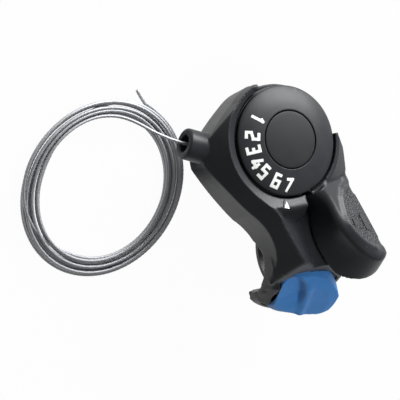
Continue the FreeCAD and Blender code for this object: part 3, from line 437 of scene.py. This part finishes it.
RIM_R = 0.7
RIM_Z = 27.72
SEAM_R = 0.18
SEAM_EDGE = 10.14
dome_edge = DOME[-1][0]
dome_points = [(r, dome_height(r)) for r in [dome_edge - DOME_STEP * k for k in range(DOME_RINGS)]]
dial_profile = [(HUB_HOLE_R, DIAL_LOW), (DIAL_R, DIAL_LOW)]
dial_profile += rounded_corner(DIAL_R - RIM_R, RIM_Z, RIM_R, 0, 60) + dome_points
dial_profile += rounded_corner(SEAM_EDGE + SEAM_R, dome_height(SEAM_EDGE) - SEAM_R, SEAM_R, 85, 180)
dial_profile += [(SEAM_EDGE, CAP_SEAT[1]), CAP_SEAT, (CAP_SEAT[0], DIAL_FLOOR), (HUB_HOLE_R, DIAL_FLOOR)]
dial_grey = moulded_finish("dial_grey", colour=(0.022, 0.023, 0.026), rubbed=(0.04, 0.042, 0.046),
                           roughness=0.42, grain=0.25 * MM, depth=0.012 * MM)
dial = turned_piece("dial_moulding", dial_profile)
dial.data.materials.append(dial_grey)
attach(dial, "winder")
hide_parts("indicator_dial")


# Numerals: the gears 1 to 7, pad printed in white on the lower left of the dome, tops to the middle.
# Each is drawn with straight strokes of one width, with corners a little softened by the ink.
DIGIT_TALL = 4.1
DIGIT_WIDE = 2.2
STROKE = 1.0
INK_T = 0.36
INK_SHARE = 0.22
DIGITS = {
    (140.4, 14.1): [[(-.25, .28), (.1, .5), (.1, -.5)]],
    (166.2, 14.3): [[(-.5, .5), (.5, .5), (.5, .05), (-.5, -.12), (-.5, -.5), (.5, -.5)]],
    (184.4, 14.5): [[(-.5, .5), (.5, .5), (.5, -.5), (-.5, -.5)], [(-.2, 0), (.5, 0)]],
    (203.6, 15.1): [[(.1, .55), (-.6, -.22), (.6, -.22)], [(.25, .15), (.25, -.55)]],
    (217.8, 15.0): [[(.5, .5), (-.45, .5), (-.45, .05), (.5, .05), (.5, -.5), (-.5, -.5)]],
    (240.0, 15.0): [[(.5, .5), (-.5, .5), (-.5, -.5), (.5, -.5), (.5, .02), (-.5, .02)]],
    (258.6, 15.6): [[(-.5, .5), (.5, .5), (-.3, -.5)]],
}


def stroke_blocks(path):
    """One block for each straight stroke, squared off past the corners between strokes."""
    points = [Vector((u * DIGIT_WIDE, v * DIGIT_TALL, 0)) * MM for u, v in path]
    half = STROKE * MM / 2
    thick = Vector((0, 0, INK_T * MM / 2))
    verts, faces = [], []
    for k, (a, b) in enumerate(zip(points, points[1:])):
        along = (b - a).normalized()
        side = Vector((-along.y, along.x, 0)) * half
        a = a - along * half * (k > 0)
        b = b + along * half * (k < len(points) - 2)
        n = len(verts)
        verts += [p + s * side + t * thick for t in (-1, 1) for p, s in ((a, -1), (b, -1), (b, 1), (a, 1))]
        faces += [(n + 3, n + 2, n + 1, n), (n + 4, n + 5, n + 6, n + 7)]
        faces += [(n + j, n + (j + 1) % 4, n + 4 + (j + 1) % 4, n + 4 + j) for j in range(4)]
    return verts, faces


ink_verts, ink_faces = [], []
for (deg, digit_r), paths in DIGITS.items():
    flat = bpy.data.meshes.new("digit")
    verts, faces = [], []
    for path in paths:
        block_verts, block_faces = stroke_blocks(path)
        faces += [[len(verts) + k for k in face] for face in block_faces]
        verts += block_verts
    flat.from_pydata(verts, [], faces)
    digit = mould_skin("digit", flat, voxel=0.07 * MM, passes=3)
    thin_out(digit, share=0.35)
    a = math.radians(deg)
    out, right = Vector((math.cos(a), math.sin(a))), Vector((-math.sin(a), math.cos(a)))
    start = len(ink_verts)
    for vertex in digit.data.vertices:
        u, v, w = vertex.co / MM
        at = out * (digit_r - v) + right * u
        z = dome_height(at.length) + INK_SHARE * w
        ink_verts.append(on_shifter(DIAL_MIDDLE.x + at.x, DIAL_MIDDLE.y + at.y, z))
    ink_faces += [[start + k for k in p.vertices] for p in digit.data.polygons]
    bpy.data.objects.remove(digit)
ink = bpy.data.meshes.new("dial_numerals")
ink.from_pydata(ink_verts, [], ink_faces)
ink.materials.append(white_print)
numerals = shown("dial_numerals", ink)
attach(numerals, "winder")


# Cap: a round grey cover with a finely matt top, snapped into the middle of the dial.
# A narrow dark seam is left between the two.
CAP_R = 9.72
CAP_EDGE_Z = 31.14
CAP_TOP = 31.84
CAP_EDGE_R = 0.2
CAP_LOW = 30.02
CAP_HOLLOW = (6.2, 30.6)
CAP_RINGS = (9.2, 8.0, 6.5, 5.0, 3.5, 2.0, 1.0, 0)
cap_rise = CAP_TOP - CAP_EDGE_Z
cap_profile = [(0, CAP_HOLLOW[1]), CAP_HOLLOW, (CAP_HOLLOW[0], CAP_LOW), (CAP_R, CAP_LOW)]
cap_profile += rounded_corner(CAP_R - CAP_EDGE_R, CAP_EDGE_Z - CAP_EDGE_R, CAP_EDGE_R, 0, 75)
cap_profile += [(r, CAP_TOP - cap_rise * (r / CAP_R) ** 2) for r in CAP_RINGS]
cap_grey = moulded_finish("cap_grey", colour=(0.014, 0.015, 0.017), rubbed=(0.03, 0.032, 0.036),
                          roughness=0.54, grain=0.22 * MM, depth=0.02 * MM)
cap = turned_piece("cap_moulding", cap_profile)
cap.data.materials.append(cap_grey)
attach(cap, "winder")
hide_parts("dial_cap")


# Release button: blue nylon, satin from its mould, on a stem that slides in the neck.
# It fills the arched socket, with a ridge down its middle and a wing towards the hook.
button_blue = moulded_finish("button_blue", colour=(0.044, 0.175, 0.44), rubbed=(0.08, 0.23, 0.49),
                             roughness=0.5, grain=0.35 * MM, depth=0.015 * MM)
button = mould_skin("button_moulding", frame["nodes"]["release_button"].data.copy(), voxel=0.2 * MM, passes=4)
button_out = SHIFTER_TURN @ Vector((-0.139, -0.824, 0.55))
BUTTON_FACING = 0.35
CREASE = [Vector(corner) for corner in (
    (-9.6, -7.0), (-9.2, -9.0), (-5.8, -12.6), (-4.0, -15.3), (-3.1, -19.4), (-3.0, -23.0))]
CREASE_DEPTH = 1.9 * MM
CREASE_TOP = -8.2
CREASE_FOOT = -19.5
FOOT_FADE = 4.0
SOCKET_FADE = 2.5
FLANK_W = 1.9
WING_W = 8.4
CREST_RISE = 0.6 * MM
CREST_TOP = -11.5
CREST_OFF = FLANK_W + 0.6
CREST_SPREAD = 1.5
BUTTON_FRONT = [(on_shifter(-5.0, -15.0, 9.0), 9.0, 4)]
WING_FOOT = [(on_shifter(-8.0, -17.6, 3.5), 4.0, 12)]


def within(share):
    return min(1.0, max(0.0, share))


facing = [vertex.normal.dot(button_out) for vertex in button.data.vertices]
for vertex, share in zip(button.data.vertices, facing):
    if share > BUTTON_FACING:
        at = (SHIFTER_TURN.inverted() @ vertex.co).xy / MM
        side = beside(at, CREASE)
        sunk = max(0.0, 1 - side / FLANK_W if side > 0 else 1 + side / WING_W)
        sunk *= within((at.y - CREASE_FOOT) / FOOT_FADE) * within((CREASE_TOP - at.y) / SOCKET_FADE)
        crest = within((CREST_TOP - at.y) / SOCKET_FADE) * math.exp(-((side - CREST_OFF) / CREST_SPREAD) ** 2)
        vertex.co += button_out * (CREST_RISE * crest - CREASE_DEPTH * sunk * sunk * (3 - 2 * sunk))
rub_down(button, BUTTON_FRONT + WING_FOOT)
thin_out(button, share=0.5)
button.data.materials.append(button_blue)
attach(button, "release")
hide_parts("release_button")


# Inner cable: bare stranded steel wire of 1.2 mm, six strands laid round a core. It leaves the outlet
# barrel, runs down to a loose coil of three layers on the table and ends cut off square.
CABLE_D = 1.2 * MM
OUTLET_MOUTH = Vector((-44.39, 46.57, 0.82)) * MM
OUTLET_AIM = Vector((-0.92521, 0.35284, -0.13963))
TABLE_Z = -12.75 * MM
COIL_CENTRE = Vector((-67.9 * MM, 31.6 * MM, TABLE_Z))
COIL_R = 28.0
TURN_POINTS = 18
LEAD_DEG = 96.0
TAIL_DEG = 46.0
TURNS = 11 + (TAIL_DEG - LEAD_DEG) / 360
LAYERS = ((3.19, -3.2, 3.1), (3.5, -3.5, 1.86), (3.721, -3.4, 0.62))
CROSSING = 0.225
CROSSING_HUMP = 0.5
PITCH = 1.95
OVAL_SHARE = 0.12
LEAN = 1.6
LEAN_DEG = 195
SLIPS = (0.7, 0.0, -0.7)
SLIP_DEG = 140
WOBBLES = ((0.3, 0.83, 1.1), (0.22, 1.37, 0.0))


def coil_point(r, deg, up):
    a = math.radians(deg)
    return COIL_CENTRE + Vector((r * math.cos(a), r * math.sin(a), up)) * MM


def turn_place(u):
    """Radius and height of the wire after u turns: layer by layer, each wound from inside to outside."""
    a = math.radians(LEAD_DEG + 360 * u)
    spread = 1.0 + OVAL_SHARE * math.cos(2 * a)
    leaning = LEAN * math.cos(a - math.radians(LEAN_DEG))
    wobble = sum(size * math.sin(2 * math.pi * pace * u + start) for size, pace, start in WOBBLES)
    for k, (turns, inside, up) in enumerate(LAYERS):
        slip = SLIPS[k] * math.cos(a - math.radians(SLIP_DEG))
        if u < turns or k == len(LAYERS) - 1:
            return COIL_R + leaning + slip + spread * (inside + PITCH * u) + wobble, up
        u -= turns
        if u < CROSSING:
            part = u / CROSSING
            ease = part * part * (3 - 2 * part)
            outside = spread * (inside + PITCH * turns)
            below = LAYERS[k + 1]
            height = up + (below[2] - up) * ease + CROSSING_HUMP * math.sin(math.pi * part)
            return COIL_R + leaning + slip + outside + ease * (spread * below[1] - outside) + wobble, height
        u -= CROSSING


route = [OUTLET_MOUTH, OUTLET_MOUTH + OUTLET_AIM * 8 * MM, coil_point(25.4, 76, 5.6)]
outward = 1 / math.cos(math.pi / TURN_POINTS)
for k in range(round(TURNS * TURN_POINTS) + 1):
    radius, height = turn_place(k / TURN_POINTS)
    route.append(coil_point(radius * outward, LEAD_DEG + 360 * k / TURN_POINTS, height))
route.append(coil_point(30.7, 60.0, 1.0))
route.append(coil_point(34.2, 68.6, 0.9))

cable_line = bpy.data.curves.new("cable_line", "CURVE")
cable_line.dimensions = "3D"
cable_line.resolution_u = 12
strand = cable_line.splines.new("NURBS")
strand.points.add(len(route) - 1)
for point, at in zip(strand.points, route):
    point.co = (*at, 1)
strand.order_u = 3
strand.use_endpoint_u = True
guide = shown("cable_line", cable_line)
bpy.context.view_layer.update()
line = bpy.data.meshes.new_from_object(guide.evaluated_get(bpy.context.evaluated_depsgraph_get()))
path = [vertex.co.copy() for vertex in line.vertices]
bpy.data.objects.remove(guide)

STRANDS = 6
STRAND_CREST = CABLE_D / 2
STRAND_VALLEY = 0.55 * MM
LAY_LENGTH = 9 * MM


def stranded_wire(name, path):
    """Twisted strands along a path: each ring of crests and valleys turns on with the lay."""
    verts, faces = [], []
    across = Vector((0, 0, 1))
    twist = 0.0
    around = 2 * STRANDS
    for k, at in enumerate(path):
        ahead, behind = path[min(k + 1, len(path) - 1)], path[max(k - 1, 0)]
        along = (ahead - behind).normalized()
        across = (across - along * across.dot(along)).normalized()
        other = along.cross(across)
        twist += 2 * math.pi * (at - behind).length / LAY_LENGTH
        for j in range(around):
            a = twist + math.pi * j / STRANDS
            r = STRAND_VALLEY if j % 2 else STRAND_CREST
            verts.append(at + (across * math.cos(a) + other * math.sin(a)) * r)
        if k:
            n = around * (k - 1)
            for j in range(around):
                beyond = (j + 1) % around
                faces.append((n + j, n + beyond, n + around + beyond, n + around + j))
    faces += [tuple(range(around - 1, -1, -1)), tuple(range(len(verts) - around, len(verts)))]
    mesh = bpy.data.meshes.new(name)
    mesh.from_pydata(verts, [], faces)
    mesh.polygons.foreach_set("use_smooth", [len(p.vertices) == 4 for p in mesh.polygons])
    return shown(name, mesh)


wire_steel = coated_steel("wire_steel", colour=(0.46, 0.47, 0.49), metallic=0.85, roughness=0.64)
cable = stranded_wire("inner_cable", path)
cable.data.materials.append(wire_steel)
dress(wire_steel, "cable_run")
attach(cable, "bracket")
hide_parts("cable_lead", "cable_coil", "cable_tail")


# Table, light and camera: a white table, a wide soft light beyond the dial and a weak fill.
# The table glows white to the camera and in what mirrors it, as pale as the paper under a catalogue picture.
TABLE_HALF = 2.0
table_mesh = bpy.data.meshes.new("table")
table_corners = [(x * TABLE_HALF, y * TABLE_HALF, TABLE_Z) for x, y in ((-1, -1), (1, -1), (1, 1), (-1, 1))]
table_mesh.from_pydata(table_corners, [], [(0, 1, 2, 3)])
table = shown("table", table_mesh)
table_white = bpy.data.materials.new("table_white")
table_white.use_nodes = True
nodes, links = table_white.node_tree.nodes, table_white.node_tree.links
shader = nodes["Principled BSDF"]
shader.inputs["Base Color"].default_value = (0.45, 0.45, 0.45, 1)
shader.inputs["Roughness"].default_value = 0.9
glow = nodes.new("ShaderNodeEmission")
glow.inputs["Color"].default_value = (1, 1, 1, 1)
seen = nodes.new("ShaderNodeLightPath")
mirrored = nodes.new("ShaderNodeMath")
mirrored.operation = "MAXIMUM"
links.new(seen.outputs["Is Glossy Ray"], mirrored.inputs[0])
links.new(seen.outputs["Is Transmission Ray"], mirrored.inputs[1])
either = nodes.new("ShaderNodeMath")
either.operation = "MAXIMUM"
links.new(seen.outputs["Is Camera Ray"], either.inputs[0])
links.new(mirrored.outputs["Value"], either.inputs[1])
share = nodes.new("ShaderNodeMath")
share.operation = "MULTIPLY"
share.inputs[1].default_value = 0.97
links.new(either.outputs["Value"], share.inputs[0])
blend = nodes.new("ShaderNodeMixShader")
links.new(share.outputs["Value"], blend.inputs["Fac"])
links.new(shader.outputs["BSDF"], blend.inputs[1])
links.new(glow.outputs["Emission"], blend.inputs[2])
links.new(blend.outputs["Shader"], nodes["Material Output"].inputs["Surface"])
table_mesh.materials.append(table_white)

VIEW_RIGHT = Vector((0.8523, 0.0164, 0.5228))
VIEW_UP = Vector((0.1534, 0.9477, -0.2798))
VIEW_BACK = VIEW_RIGHT.cross(VIEW_UP).normalized()
VIEW_CENTRE = Vector((-28.29, 19.33, -14.02)) * MM
FIELD = 137.93 * MM
CAMERA_AWAY = 1.4
SENSOR = 36
camera_data = bpy.data.cameras.new("camera")
camera_data.sensor_width = SENSOR
camera_data.lens = SENSOR * CAMERA_AWAY / FIELD
camera_data.clip_start = 0.05
camera = shown("camera", camera_data)
camera.matrix_world = Matrix.Translation(VIEW_CENTRE + VIEW_BACK * CAMERA_AWAY) @ Matrix(
    (VIEW_RIGHT, VIEW_UP, VIEW_BACK)).transposed().to_4x4()
bpy.context.scene.camera = camera


def softbox(name, at, width, height, power, mirrored):
    light = bpy.data.lights.new(name, "AREA")
    light.shape = "RECTANGLE"
    light.size = width
    light.size_y = height
    light.energy = power
    lamp = shown(name, light)
    lamp.location = at
    lamp.visible_glossy = mirrored
    lamp.rotation_euler = (VIEW_CENTRE - Vector(at)).to_track_quat("-Z", "Y").to_euler()


softbox("key_light", at=(0.5, 0.8, 0.32), width=0.9, height=0.55, power=23, mirrored=True)
softbox("fill_light", at=(0.4, -0.3, 0.8), width=0.5, height=0.5, power=6, mirrored=False)
world = bpy.data.worlds.new("studio")
bpy.context.scene.world = world
world.use_nodes = True
world.node_tree.nodes["Background"].inputs["Color"].default_value = (1, 1, 1, 1)
world.node_tree.nodes["Background"].inputs["Strength"].default_value = 0.22
bpy.context.scene.view_settings.view_transform = "Standard"
